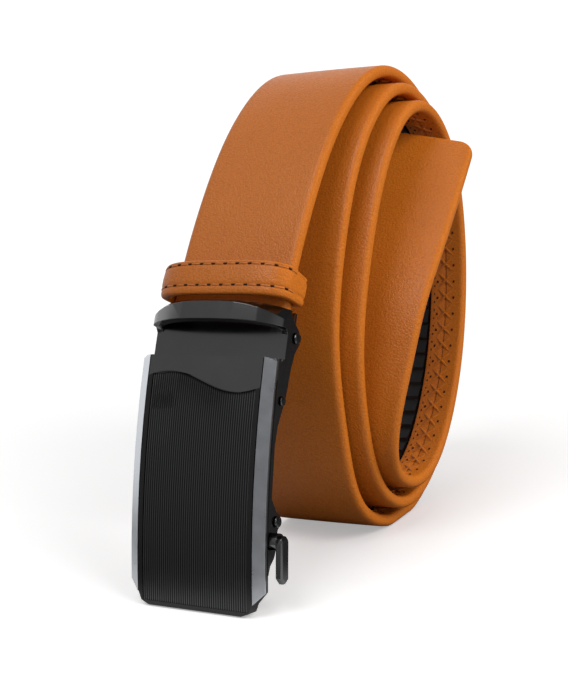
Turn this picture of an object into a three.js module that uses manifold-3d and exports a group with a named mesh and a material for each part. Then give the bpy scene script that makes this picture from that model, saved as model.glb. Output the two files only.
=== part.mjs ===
// A leather ratchet belt that stands coiled on its rim, with its automatic buckle in front.
// Millimetres, +Z up, the floor at z = 0. X runs across the strap, and -Y is the buckle's side.
import * as THREE from 'three';
import { mergeVertices } from 'three/addons/utils/BufferGeometryUtils.js';
import Module from 'manifold-3d';

const wasm = await Module();
wasm.setup();

// Strap
const STRAP_WIDTH = 35;
const STRAP_THICKNESS = 3.5;
const STRAP_EDGE_RADIUS = 1.5;
const TAIL_CORNER_RADIUS = 4.5;

// Coil, measured over the outer faces of its outermost turn
const COIL_HEIGHT = 133;
const COIL_DEPTH = 100;
const COIL_SPREAD = 18.5;
const PLY_GAP = 0.4;
const TAIL_TWIST = 0.31;
const TAIL_TWIST_LENGTH = 90;

// Ratchet track in the back of the free end
const TRACK_LENGTH = 285;
const TRACK_WIDTH = 12.6;
const TRACK_SEAT = 1;
const TRACK_BASE = 0.9;
const TOOTH_HEIGHT = 0.8;
const TOOTH_PITCH = 5;
const TRACK_END_MARGIN = 8;

// Keeper loop
const KEEPER_HEIGHT = 8.2;
const KEEPER_THICKNESS = 1.6;
const KEEPER_SIDE_ROOM = 0.4;
const KEEPER_FRONT_ROOM = 5.6;
const KEEPER_ARCH_SQUARENESS = 0.5;

// Buckle face, which is bent along its length
const FACE_WIDTH = 40.3;
const FACE_LENGTH = 64.4;
const FACE_BEND_RADIUS = 227;
const FACE_LEAN = 0.1187;
const FACE_FRONT_Y = -87.5;
const FACE_THICKNESS = 1.4;
const FACE_CORNER_CUT = 3;
const RIM_DEPTH = 2.9;
const RIM_WIDTH = 2.3;
const SHELF_EDGE = 0.5;

// Silver bevels along the face
const TRIM_WIDTH = 3.2;
const TRIM_DROP = 1.4;
const TRIM_THICKNESS = 0.6;

// Ribs of the face and their wavy upper end
const RIB_PITCH = 0.66;
const RIB_CREST = 0.12;
const RIB_DEPTH = 0.32;
const RIB_BORDER = 1.2;
const RIB_BOTTOM = 1.2;
const WAVE_MIDDLE = 57.8;
const WAVE_RISE = 2.5;
const WAVE_LENGTH = 40;
const WAVE_CREST = -10.4;

// Housing
const WALL_THICKNESS = 1.8;
const SLOT_HEIGHT = 3.9;
const NECK_THICKNESS = 1;
const NECK_START = 57;
const BAR_START = 73;
const BAR_HEIGHT = 5.8;
const BAR_END_DEPTH = 2.2;
const BAR_RISE = 5.5;
const BAR_THICKNESS = 2;
const BAR_TOP_BEVEL = 1;
const BAR_END_CUT = 3;
const BAR_END_ROUNDING = 0.9;
const KEEPER_GAP = 1.5;

// Pins, rivets and the clamp's flap
const FIT_GAP = 0.3;
const PIN_RADIUS = 0.8;
const PIN_HEAD_RADIUS = 1.5;
const PIN_HEAD_HEIGHT = 0.7;
const CLAMP_PIN_UNDER_BAR = 1.6;
const CLAMP_PIN_DEPTH = 9.6;
const RIVET_ALONG = 54.2;
const RIVET_DEPTH = 6;
const PAWL_PIN_ALONG = 23.4;
const PAWL_PIN_DEPTH = 7;
const BARREL_WALL = 0.8;
const FLAP_THICKNESS = 1;
const FLAP_REACH = 7.4;
const FLAP_TOOTH = 0.7;
const FLAP_TEETH = 9;
const PAWL_REACH = 8;

// Release lever
const SHAFT_ALONG = 18.6;
const SHAFT_DEPTH = 5;
const SHAFT_RADIUS = 1.2;
const COLLAR_RADIUS = 2.2;
const COLLAR_LENGTH = 1.7;
const LEVER_LENGTH = 12.2;
const LEVER_WIDTH = 3.5;
const LEVER_THICKNESS = 2;
const LEVER_BEVEL = 0.5;

// Sizes worked out from the ones above
const HALF_FACE = FACE_WIDTH / 2;
const HALF_CENTRE = HALF_FACE - TRIM_WIDTH;
const NECK_FRONT = -FACE_THICKNESS - SLOT_HEIGHT;
const NECK_BACK = NECK_FRONT - NECK_THICKNESS;
const WALL_FRONT = -RIM_DEPTH - FIT_GAP;
const WALL_OUTER = HALF_FACE - 0.2;
const WALL_INNER = WALL_OUTER - WALL_THICKNESS;
const STRAP_CENTRE_OUT = NECK_BACK - FIT_GAP - STRAP_THICKNESS / 2;
const BARREL_RADIUS = PIN_RADIUS + FIT_GAP + BARREL_WALL;
const CLAMP_PIN_ALONG = BAR_START - CLAMP_PIN_UNDER_BAR;
const STRAP_START = CLAMP_PIN_ALONG + BARREL_RADIUS + FIT_GAP;
const KEEPER_START = BAR_START + BAR_HEIGHT + KEEPER_GAP;

// One row for each station around the coil, in the strap's own order: up the front, over the top,
// down the back and along the floor. depth and height place the outermost turn's outer face as
// shares of COIL_DEPTH and COIL_HEIGHT. slack2 and slack3 say how far the second and third turns
// hang clear inside the turn around them, as shares of COIL_HEIGHT.
const STATIONS = [
  { at: 'front low', depth: -0.458, height: 0.251, slack2: 0.021, slack3: 0.006 },
  { at: 'front middle', depth: -0.479, height: 0.435, slack2: 0.022, slack3: 0.017 },
  { at: 'front high', depth: -0.468, height: 0.69, slack2: 0.085, slack3: 0.029 },
  { at: 'shoulder', depth: -0.218, height: 0.893, slack2: 0.034, slack3: 0.028 },
  { at: 'crest', depth: 0.05, height: 0.993, slack2: 0.01, slack3: 0.014 },
  { at: 'crest back', depth: 0.265, height: 0.962, slack2: 0.008, slack3: 0 },
  { at: 'back high', depth: 0.442, height: 0.823, slack2: 0.012, slack3: 0.002 },
  { at: 'back upper', depth: 0.519, height: 0.626, slack2: 0.017, slack3: 0.019 },
  { at: 'back lower', depth: 0.509, height: 0.419, slack2: 0.023, slack3: 0.029 },
  { at: 'back low', depth: 0.427, height: 0.23, slack2: 0.033, slack3: 0.029 },
  { at: 'heel', depth: 0.262, height: 0.083, slack2: 0.029, slack3: 0.024 },
  { at: 'floor back', depth: 0.055, height: -0.002, slack2: 0.015, slack3: 0.013 },
  { at: 'floor front', depth: -0.135, height: -0.003, slack2: 0.008, slack3: 0.016 },
  { at: 'toe', depth: -0.334, height: 0.08, slack2: 0.023, slack3: 0.004 },
];

// The free end inside the third turn, as shares of the coil's depth and height at the strap's centre.
const TAIL = [
  { at: 'tail root', depth: -0.264, height: 0.17 },
  { at: 'tail low', depth: -0.276, height: 0.266 },
  { at: 'tail middle', depth: -0.207, height: 0.406 },
  { at: 'tail high', depth: -0.158, height: 0.498 },
  { at: 'tail upper', depth: -0.005, height: 0.632 },
  { at: 'tail end', depth: 0.235, height: 0.825 },
];

// How far the strap has moved sideways, as a share of COIL_SPREAD, against the turns it has made.
const DRIFT = [
  { turns: 0, share: 0 },
  { turns: 0.18, share: -0.02 },
  { turns: 1.18, share: 0.23 },
  { turns: 2.18, share: 0.45 },
  { turns: 2.5, share: 0.5 },
  { turns: 2.64, share: 0.59 },
  { turns: 2.8, share: 0.4 },
  { turns: 3.1, share: 1.17 },
];

const LEATHER = { color: 0xb8672a, roughness: 0.45, metalness: 0 };
const BLACK_METAL = { color: 0x1d1e20, roughness: 0.42, metalness: 0.7 };
const SILVER = { color: 0x9aa0a8, roughness: 0.35, metalness: 0.9 };
const PLASTIC = { color: 0x101114, roughness: 0.5, metalness: 0 };

// Closed solid through rings of equally many points. The outline is the rings' own 2D shape, from
// which both ends are closed. Without one, each end is closed by a fan around its middle.
function loft(rings, outline = null) {
  if (outline && THREE.ShapeUtils.isClockWise(outline)) {
    return loft(rings.map((ring) => [...ring].reverse()), [...outline].reverse());
  }
  const size = rings[0].length;
  const position = rings.flatMap((ring) => ring.flatMap((p) => [p.x, p.y, p.z]));
  const index = [];
  for (let r = 0; r + 1 < rings.length; r += 1) {
    for (let i = 0; i < size; i += 1) {
      const a = r * size + i;
      const b = r * size + (i + 1) % size;
      index.push(a, b, b + size, a, b + size, a + size);
    }
  }
  const last = (rings.length - 1) * size;
  if (outline) {
    for (const [a, b, c] of THREE.ShapeUtils.triangulateShape(outline, [])) {
      index.push(c, b, a, a + last, b + last, c + last);
    }
  } else {
    for (const [ring, offset, order] of [[rings[0], 0, 1], [rings.at(-1), last, -1]]) {
      const middle = ring.reduce((sum, p) => sum.add(p), new THREE.Vector3()).divideScalar(size);
      const hub = position.length / 3;
      position.push(middle.x, middle.y, middle.z);
      for (let i = 0; i < size; i += 1) {
        const edge = [offset + i, offset + (i + 1) % size];
        index.push(hub, ...(order > 0 ? edge.reverse() : edge));
      }
    }
  }
  const geometry = new THREE.BufferGeometry();
  geometry.setAttribute('position', new THREE.Float32BufferAttribute(position, 3));
  geometry.setIndex(index);
  return facingOut(geometry);
}

// Turns the triangles over when they enclose a negative volume.
function facingOut(geometry) {
  const p = geometry.getAttribute('position');
  const index = Array.from(geometry.index.array);
  const corners = [new THREE.Vector3(), new THREE.Vector3(), new THREE.Vector3()];
  let volume = 0;
  for (let i = 0; i < index.length; i += 3) {
    corners.forEach((corner, k) => corner.fromBufferAttribute(p, index[i + k]));
    volume += corners[0].dot(corners[1].clone().cross(corners[2]));
  }
  if (volume < 0) {
    for (let i = 0; i < index.length; i += 3) {
      [index[i], index[i + 1]] = [index[i + 1], index[i]];
    }
    geometry.setIndex(index);
  }
  return geometry;
}

// three.js geometry to a manifold solid and back
function solid(geometry) {
  const plain = geometry.clone();
  plain.deleteAttribute('normal');
  plain.deleteAttribute('uv');
  const merged = mergeVertices(plain, 1e-4);
  return new wasm.Manifold(new wasm.Mesh({
    numProp: 3,
    vertProperties: new Float32Array(merged.getAttribute('position').array),
    triVerts: new Uint32Array(merged.index.array),
  }));
}

function geometryOf(manifold) {
  const mesh = manifold.getMesh();
  const geometry = new THREE.BufferGeometry();
  geometry.setAttribute('position', new THREE.BufferAttribute(Float32Array.from(mesh.vertProperties), 3));
  geometry.setIndex(Array.from(mesh.triVerts));
  return geometry;
}

function joined(first, ...others) {
  return others.reduce((sum, other) => sum.add(other), first);
}

// Place on the bent buckle face: across to the right, along up from its lower edge, out to the front.
function onFace(across, along, out) {
  const turn = FACE_LEAN + along / FACE_BEND_RADIUS;
  const y = FACE_FRONT_Y + FACE_BEND_RADIUS * (Math.cos(FACE_LEAN) - Math.cos(turn));
  const z = FACE_BEND_RADIUS * (Math.sin(turn) - Math.sin(FACE_LEAN)) + RIM_DEPTH * Math.sin(FACE_LEAN);
  return new THREE.Vector3(across, y - out * Math.cos(turn), z + out * Math.sin(turn));
}

// Even steps from one value to another, with both ends
function steps(from, to, count) {
  return Array.from({ length: count + 1 }, (_, i) => from + (to - from) * i / count);
}

// A profile of {along, out} points, extruded across the buckle
function sidePlate(profile, from, to) {
  const outline = profile.map(({ along, out }) => new THREE.Vector2(along, out));
  const rings = [from, to].map((across) => profile.map(({ along, out }) => onFace(across, along, out)));
  return loft(rings, outline);
}

// A round bar across the buckle with a radius for each place across
function turned(along, out, places, sides = 16) {
  const outline = steps(0, 2 * Math.PI, sides).slice(0, sides);
  const ring = ({ across, radius }) => outline.map((angle) => {
    const centre = onFace(across, along, out);
    return centre.add(new THREE.Vector3(0, radius * Math.cos(angle), radius * Math.sin(angle)));
  });
  return loft(places.map(ring), outline.map((angle) => new THREE.Vector2(Math.cos(angle), Math.sin(angle))));
}

// Direction into the coil at one point of a closed turn
function inwardAt(points, i) {
  const before = points[(i + points.length - 1) % points.length];
  const after = points[(i + 1) % points.length];
  return new THREE.Vector2(after.y - before.y, before.x - after.x).normalize();
}

function shiftedIn(points, distanceAt) {
  return points.map((p, i) => p.clone().addScaledVector(inwardAt(points, i), distanceAt(i)));
}

function coilKnots() {
  const outer = STATIONS.map((s) => new THREE.Vector2(s.depth * COIL_DEPTH, s.height * COIL_HEIGHT));
  const pitch = STRAP_THICKNESS + PLY_GAP;
  const first = shiftedIn(outer, () => STRAP_THICKNESS / 2);
  const second = shiftedIn(first, (i) => pitch + STATIONS[i].slack2 * COIL_HEIGHT);
  const third = shiftedIn(second, (i) => pitch + STATIONS[i].slack3 * COIL_HEIGHT);
  const start = steps(STRAP_START, KEEPER_START + KEEPER_HEIGHT / 2, 2).map((along) => {
    const p = onFace(0, along, STRAP_CENTRE_OUT);
    return new THREE.Vector2(p.y, p.z);
  });
  const tail = TAIL.map((s) => new THREE.Vector2(s.depth * COIL_DEPTH, s.height * COIL_HEIGHT));
  return [...start, ...first.slice(2), ...second, ...third, ...tail];
}

function driftAt(turns) {
  const passed = DRIFT.filter((row) => row.turns <= turns).length;
  const i = THREE.MathUtils.clamp(passed, 1, DRIFT.length - 1);
  const [a, b] = [DRIFT[i - 1], DRIFT[i]];
  const t = THREE.MathUtils.clamp((turns - a.turns) / (b.turns - a.turns), 0, 1);
  return COIL_SPREAD * THREE.MathUtils.lerp(a.share, b.share, t);
}

const ROUTE_STEP = 3;
const SMOOTHING_PASSES = 14;
const SIDEWAYS_PASSES = 56;
const STRAIGHT_START = 12;

// Lays the strap's centre line through the knots, evens it out and moves it sideways turn by turn.
function coilRoute() {
  const knots = coilKnots().map((p) => new THREE.Vector3(0, p.x, p.y));
  const curve = new THREE.CatmullRomCurve3(knots, false, 'centripetal');
  curve.arcLengthDivisions = 3000;
  const count = Math.round(curve.getLength() / ROUTE_STEP);
  let points = curve.getSpacedPoints(count);
  for (let pass = 0; pass < SMOOTHING_PASSES; pass += 1) {
    points = points.map((p, i) => {
      if (p.distanceTo(points[0]) < STRAIGHT_START || i === count) {
        return p;
      }
      const middle = points[i - 1].clone().add(points[i + 1]).multiplyScalar(0.5);
      return p.clone().lerp(middle, 0.5);
    });
  }
  points.forEach((p) => {
    p.z = Math.max(p.z, STRAP_THICKNESS / 2);
  });
  let angle = 0;
  points.forEach((p, i) => {
    if (i > 0 && i < count) {
      const a = p.clone().sub(points[i - 1]);
      const b = points[i + 1].clone().sub(p);
      angle += a.angleTo(b);
    }
    p.turns = angle / (2 * Math.PI);
  });
  points.forEach((p) => {
    p.x = driftAt(p.turns);
  });
  for (let pass = 0; pass < SIDEWAYS_PASSES; pass += 1) {
    const x = points.map((p) => p.x);
    points.slice(1, -1).forEach((p, i) => {
      p.x = (x[i] + 2 * x[i + 1] + x[i + 2]) / 4;
    });
  }
  return points;
}

const ROUTE = coilRoute();
const CURVE = new THREE.CatmullRomCurve3(ROUTE, false, 'centripetal');
CURVE.arcLengthDivisions = 4 * ROUTE.length;
const STRAP_LENGTH = CURVE.getLength();

// Frame at a length along the strap: its place, and the directions across, outward and ahead
function frameAt(length) {
  const share = THREE.MathUtils.clamp(length / STRAP_LENGTH, 0, 1);
  const ahead = CURVE.getTangentAt(share);
  const twisted = THREE.MathUtils.clamp(1 - (STRAP_LENGTH - length) / TAIL_TWIST_LENGTH, 0, 1);
  const across = new THREE.Vector3(1, 0, 0).addScaledVector(ahead, -ahead.x).normalize()
    .applyAxisAngle(ahead, TAIL_TWIST * twisted);
  const outward = across.clone().cross(ahead).normalize();
  return { place: CURVE.getPointAt(share), across, outward, ahead };
}

function ringAt(length, outline) {
  const { place, across, outward } = frameAt(length);
  return outline.map((p) => place.clone().addScaledVector(across, p.x).addScaledVector(outward, p.y));
}

// Lengths along the strap, closer together where it bends more
const MAX_STEP = 11;
const MAX_TURN = 0.17;

function bendSteps(from, to) {
  const lengths = [from];
  let start = frameAt(from).ahead;
  for (let at = from + 1; at < to - 1; at += 1) {
    const { ahead } = frameAt(at);
    if (at - lengths.at(-1) >= MAX_STEP || ahead.angleTo(start) >= MAX_TURN) {
      lengths.push(at);
      start = ahead;
    }
  }
  return [...lengths, to];
}

// The track runs in a channel in the strap's back.
const TRACK_STOP = STRAP_LENGTH - TRACK_END_MARGIN;
const TRACK_START = TRACK_STOP - TRACK_LENGTH;
const STRAP_BACK = -STRAP_THICKNESS / 2;
const TEETH = Math.round(TRACK_LENGTH / TOOTH_PITCH);
const CHANNEL_HALF = TRACK_WIDTH / 2 + FIT_GAP;
const CHANNEL_DRAFT = 0.2;

// Rounded rectangle, flat on both faces, with the channel in its back where it has a depth
function strapOutline(halfWidth, channelDepth) {
  const r = STRAP_EDGE_RADIUS;
  const x = halfWidth - r;
  const y = STRAP_THICKNESS / 2 - r;
  const rounded = (cx, cy, quarter) => steps(0, Math.PI / 2, 2).map((angle) => {
    const a = angle + quarter * Math.PI / 2;
    return new THREE.Vector2(cx + r * Math.cos(a), cy + r * Math.sin(a));
  });
  const floor = STRAP_BACK + channelDepth;
  const channel = [
    new THREE.Vector2(-CHANNEL_HALF - CHANNEL_DRAFT, STRAP_BACK),
    new THREE.Vector2(-CHANNEL_HALF, floor),
    new THREE.Vector2(CHANNEL_HALF, floor),
    new THREE.Vector2(CHANNEL_HALF + CHANNEL_DRAFT, STRAP_BACK),
  ];
  return [...rounded(x, y, 0), ...rounded(-x, y, 1), ...rounded(-x, -y, 2), ...channel, ...rounded(x, -y, 3)];
}

function strap() {
  const r = TAIL_CORNER_RADIUS;
  const half = STRAP_WIDTH / 2;
  const [open, shut] = [TRACK_START - 2 * FIT_GAP, TRACK_STOP + 2 * FIT_GAP];
  const plain = (length) => ({ length, halfWidth: half, depth: 0 });
  const channel = [open + FIT_GAP, ...steps(TRACK_START, TRACK_STOP, TEETH).slice(1, -1), shut - FIT_GAP];
  const body = [
    ...bendSteps(0, open).map(plain),
    ...channel.map((length) => ({ ...plain(length), depth: TRACK_SEAT })),
    ...[shut, STRAP_LENGTH - r].map(plain),
  ];
  const corner = steps(0, 1.4, 4).slice(1).map((angle) => ({
    length: STRAP_LENGTH - r + r * Math.sin(angle),
    halfWidth: half - r + r * Math.cos(angle),
    depth: 0,
  }));
  const rows = [...body, ...corner];
  return loft(rows.map((row) => ringAt(row.length, strapOutline(row.halfWidth, row.depth))));
}

function band(halfWidth, low, high) {
  return [[halfWidth, high], [-halfWidth, high], [-halfWidth, low], [halfWidth, low]]
    .map(([x, y]) => new THREE.Vector2(x, y));
}

// Saw teeth with their steep side towards the strap's free end
function ratchetTrack() {
  const floor = STRAP_BACK + TRACK_SEAT - FIT_GAP;
  const low = floor - TRACK_BASE;
  const half = TRACK_WIDTH / 2;
  const pitch = TRACK_LENGTH / TEETH;
  const rings = [];
  for (let tooth = 0; tooth < TEETH; tooth += 1) {
    const from = TRACK_START + tooth * pitch;
    rings.push(ringAt(from, band(half, low, floor)));
    rings.push(ringAt(from + 0.85 * pitch, band(half, low - TOOTH_HEIGHT, floor)));
  }
  rings.push(ringAt(TRACK_STOP, band(half, low, floor)));
  return loft(rings, band(half, low, floor));
}

// Keeper loop: a band around the strap whose front bows out to leave room for the free end
function keeperOutline(grow) {
  const half = STRAP_WIDTH / 2 + KEEPER_SIDE_ROOM + grow;
  const back = -STRAP_THICKNESS / 2 - FIT_GAP - grow;
  const front = STRAP_THICKNESS / 2 + FIT_GAP + grow;
  const arch = steps(Math.PI, 0, 14).map((angle) => new THREE.Vector2(
    half * Math.sign(Math.cos(angle)) * Math.abs(Math.cos(angle)) ** KEEPER_ARCH_SQUARENESS,
    front + KEEPER_FRONT_ROOM * Math.sin(angle),
  ));
  const right = [[half, back + 0.9], [half - 0.9, back]];
  const left = right.map(([x, y]) => [-x, y]).reverse();
  return [...arch, ...[...right, ...left].map(([x, y]) => new THREE.Vector2(x, y))];
}

function keeperLoop() {
  const start = KEEPER_START - STRAP_START;
  const lengths = steps(start, start + KEEPER_HEIGHT, 3);
  const over = [start - 1, ...lengths, start + KEEPER_HEIGHT + 1];
  const tube = (places, outline) => solid(loft(places.map((length) => ringAt(length, outline)), outline));
  return geometryOf(tube(lengths, keeperOutline(KEEPER_THICKNESS)).subtract(tube(over, keeperOutline(0))));
}

// Face plate: a tray with a raised centre, sloping shelves for the bevels and a rim behind them
function faceOutline(centre, rim) {
  const shelfTop = -TRIM_THICKNESS - FIT_GAP;
  const shelfEnd = -RIM_DEPTH + SHELF_EDGE;
  const half = [
    [centre, 0], [centre + 0.15, shelfTop], [rim, shelfEnd], [rim, -RIM_DEPTH],
    [rim - RIM_WIDTH, -RIM_DEPTH], [rim - RIM_WIDTH - 0.4, -FACE_THICKNESS],
  ];
  return [...half, ...half.map(([x, y]) => [-x, y]).reverse()].map(([x, y]) => new THREE.Vector2(x, y));
}

function facePlateBlank() {
  const cut = FACE_CORNER_CUT;
  const widths = [
    { along: 0, centre: HALF_CENTRE - cut, rim: HALF_CENTRE - cut + 0.5 },
    { along: 0.35 * cut, centre: HALF_CENTRE - 0.25 * cut, rim: HALF_CENTRE - 0.25 * cut + 0.5 },
    { along: cut, centre: HALF_CENTRE, rim: HALF_CENTRE + 0.5 },
    ...steps(cut + TRIM_WIDTH, FACE_LENGTH, 7).map((along) => (
      { along, centre: HALF_CENTRE, rim: HALF_FACE }
    )),
  ];
  const rings = widths.map(({ along, centre, rim }) => (
    faceOutline(centre, rim).map((p) => onFace(p.x, along, p.y))
  ));
  return loft(rings, faceOutline(HALF_CENTRE, HALF_FACE));
}

function waveHeight(across) {
  return WAVE_MIDDLE + WAVE_RISE * Math.cos(2 * Math.PI * (across - WAVE_CREST) / WAVE_LENGTH);
}

// The cutter leaves the ribs standing a little below the smooth face and ends on the wave.
function ribCutter() {
  const half = HALF_CENTRE - RIB_BORDER;
  const ribs = Math.round(2 * half / RIB_PITCH);
  const zigzag = steps(-half, half, 2 * ribs).map((across, i) => new THREE.Vector2(
    across,
    i % 2 === 0 ? -RIB_CREST - RIB_DEPTH : -RIB_CREST,
  ));
  const outline = [...zigzag, new THREE.Vector2(half, 1), new THREE.Vector2(-half, 1)];
  const rings = steps(0, 1, 6).map((t) => outline.map((p) => {
    const along = THREE.MathUtils.lerp(RIB_BOTTOM, waveHeight(p.x), t);
    return onFace(p.x, along, p.y);
  }));
  return loft(rings, outline);
}

function facePlate() {
  return geometryOf(solid(facePlateBlank()).subtract(solid(ribCutter())));
}

// Silver bevel on the shelf of one side. Its lower end is cut at 45 degrees.
function sideTrim(side) {
  const inner = HALF_CENTRE + FIT_GAP;
  const outer = HALF_FACE;
  const low = -TRIM_DROP - TRIM_THICKNESS;
  const outline = [[inner, 0], [outer, -TRIM_DROP], [outer, low], [inner, -TRIM_THICKNESS]]
    .map(([x, y]) => new THREE.Vector2(side * x, y));
  const corner = 0.8;
  const start = FACE_CORNER_CUT + 0.2;
  const ring = (alongAt, trimmed) => outline.map((p) => {
    const across = Math.min(Math.abs(p.x), outer - trimmed);
    return onFace(side * across, alongAt(across), p.y);
  });
  const rings = [
    ring((across) => start + across - inner, 0),
    ...steps(start + TRIM_WIDTH + 1, FACE_LENGTH - corner, 7).map((along) => ring(() => along, 0)),
    ring(() => FACE_LENGTH, corner),
  ];
  return loft(rings, outline);
}

// Side wall seen from the side. Its back edge follows the clamp's ear, the rivet, the waist,
// the pawl pin's ear and the boss around the lever's shaft.
const WALL_BACK = [
  { along: BAR_START + BAR_HEIGHT - 1.4, out: NECK_FRONT },
  { along: BAR_START + 3, out: NECK_BACK - 0.6 },
  { along: CLAMP_PIN_ALONG + 2.3, out: -CLAMP_PIN_DEPTH - 0.9 },
  { along: CLAMP_PIN_ALONG + 0.9, out: -CLAMP_PIN_DEPTH - 2.2 },
  { along: CLAMP_PIN_ALONG - 1.2, out: -CLAMP_PIN_DEPTH - 2.1 },
  { along: CLAMP_PIN_ALONG - 4, out: -CLAMP_PIN_DEPTH - 0.4 },
  { along: RIVET_ALONG + 8.6, out: -RIVET_DEPTH - 2.9 },
  { along: RIVET_ALONG + 5.4, out: -RIVET_DEPTH - 2.5 },
  { along: RIVET_ALONG + 1, out: -RIVET_DEPTH - 1.9 },
  { along: RIVET_ALONG - 2.6, out: -RIVET_DEPTH - 0.6 },
  { along: RIVET_ALONG - 6.6, out: WALL_FRONT - 2 },
  { along: RIVET_ALONG - 11.6, out: WALL_FRONT - 1.3 },
  { along: PAWL_PIN_ALONG + 6, out: WALL_FRONT - 1.2 },
  { along: PAWL_PIN_ALONG + 2.4, out: -PAWL_PIN_DEPTH },
  { along: PAWL_PIN_ALONG + 1.4, out: -PAWL_PIN_DEPTH - 1.8 },
  { along: PAWL_PIN_ALONG - 0.8, out: -PAWL_PIN_DEPTH - 2 },
  { along: PAWL_PIN_ALONG - 2.2, out: -PAWL_PIN_DEPTH - 0.8 },
  { along: SHAFT_ALONG + 1.2, out: -SHAFT_DEPTH - 2.4 },
  { along: SHAFT_ALONG - 1.8, out: -SHAFT_DEPTH - 2.3 },
  { along: SHAFT_ALONG - 4.4, out: -SHAFT_DEPTH - 1.2 },
  { along: SHAFT_ALONG - 6.2, out: WALL_FRONT - 1.1 },
  { along: SHAFT_ALONG - 8.4, out: WALL_FRONT - 0.3 },
];

function housingWall(side) {
  const front = [
    { along: SHAFT_ALONG - 8.4, out: WALL_FRONT },
    ...steps(SHAFT_ALONG, FACE_LENGTH - 1, 4).map((along) => ({ along, out: WALL_FRONT })),
    { along: FACE_LENGTH + 0.6, out: NECK_FRONT },
    { along: BAR_START - 1.6, out: NECK_FRONT },
    { along: BAR_START + 0.2, out: -BAR_END_DEPTH - 1.8 },
    { along: BAR_START + 2.4, out: -BAR_END_DEPTH - 1.8 },
  ];
  return solid(sidePlate([...front, ...WALL_BACK], side * WALL_INNER, side * WALL_OUTER));
}

function neck() {
  const outline = band(WALL_OUTER - 0.3, NECK_BACK, NECK_FRONT);
  const rings = steps(NECK_START, BAR_START + BAR_HEIGHT - 1.4, 3)
    .map((along) => outline.map((p) => onFace(p.x, along, p.y)));
  return solid(loft(rings, outline));
}

// Clamp bar: a bridge in front of the neck that bows forward and has rounded ends
function clampBar() {
  const section = (across) => {
    const t = Math.abs(across / WALL_OUTER);
    const front = -BAR_END_DEPTH + BAR_RISE * (1 - t ** 3) - BAR_END_ROUNDING * t ** 24;
    const back = Math.max(NECK_BACK + 0.2, front - BAR_THICKNESS - 1.2 * t * t);
    const low = BAR_START - 0.5 * t ** 3;
    const upper = BAR_START + BAR_HEIGHT - 0.8 * t ** 3;
    const top = BAR_START + BAR_HEIGHT - BAR_TOP_BEVEL - BAR_END_CUT * t ** 3;
    return [[low, back], [low + 0.3, front], [top, front], [upper, back]];
  };
  const rings = steps(-Math.PI / 2, Math.PI / 2, 16)
    .map((angle) => WALL_OUTER * Math.sin(angle))
    .map((across) => section(across).map(([along, out]) => onFace(across, along, out)));
  return solid(loft(rings, section(0).map(([x, y]) => new THREE.Vector2(x, y))));
}

function drill(along, depth, radius, from = -HALF_FACE - 2, to = HALF_FACE + 2) {
  return solid(turned(along, -depth, [{ across: from, radius }, { across: to, radius }]));
}

function buckleHousing() {
  const body = joined(housingWall(-1), housingWall(1), neck(), clampBar());
  const holes = joined(
    drill(CLAMP_PIN_ALONG, CLAMP_PIN_DEPTH, PIN_RADIUS + FIT_GAP),
    drill(RIVET_ALONG, RIVET_DEPTH, PIN_RADIUS + FIT_GAP),
    drill(PAWL_PIN_ALONG, PAWL_PIN_DEPTH, PIN_RADIUS + FIT_GAP),
    drill(SHAFT_ALONG, SHAFT_DEPTH, SHAFT_RADIUS + FIT_GAP, 0),
  );
  return geometryOf(body.subtract(holes));
}

// A pin right across the buckle with a domed head outside each wall
function crossPin(along, depth) {
  const seat = WALL_OUTER + FIT_GAP;
  const half = [
    { across: seat, radius: PIN_RADIUS },
    { across: seat + 0.01, radius: PIN_HEAD_RADIUS },
    { across: seat + 0.6 * PIN_HEAD_HEIGHT, radius: 0.9 * PIN_HEAD_RADIUS },
    { across: seat + PIN_HEAD_HEIGHT, radius: 0.5 * PIN_HEAD_RADIUS },
  ];
  const other = half.map(({ across, radius }) => ({ across: -across, radius })).reverse();
  return turned(along, -depth, [...other, ...half]);
}

// A short rivet in one wall, headed on both sides
function wallRivet(side) {
  const inside = WALL_INNER - FIT_GAP;
  const seat = WALL_OUTER + FIT_GAP;
  const places = [
    { across: inside - 0.2, radius: 1 },
    { across: inside, radius: 1.25 },
    { across: inside + 0.01, radius: PIN_RADIUS },
    { across: seat, radius: PIN_RADIUS },
    { across: seat + 0.01, radius: 1.25 },
    { across: seat + 0.3, radius: 1.1 },
    { across: seat + 0.5, radius: 0.6 },
  ];
  const sided = places.map(({ across, radius }) => ({ across: side * across, radius }));
  return turned(RIVET_ALONG, -RIVET_DEPTH, sided);
}

function barrel(along, depth, halfLength) {
  const places = [-halfLength, halfLength];
  const outside = turned(along, -depth, places.map((across) => ({ across, radius: BARREL_RADIUS })));
  return solid(outside).subtract(drill(along, depth, PIN_RADIUS + FIT_GAP));
}

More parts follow.
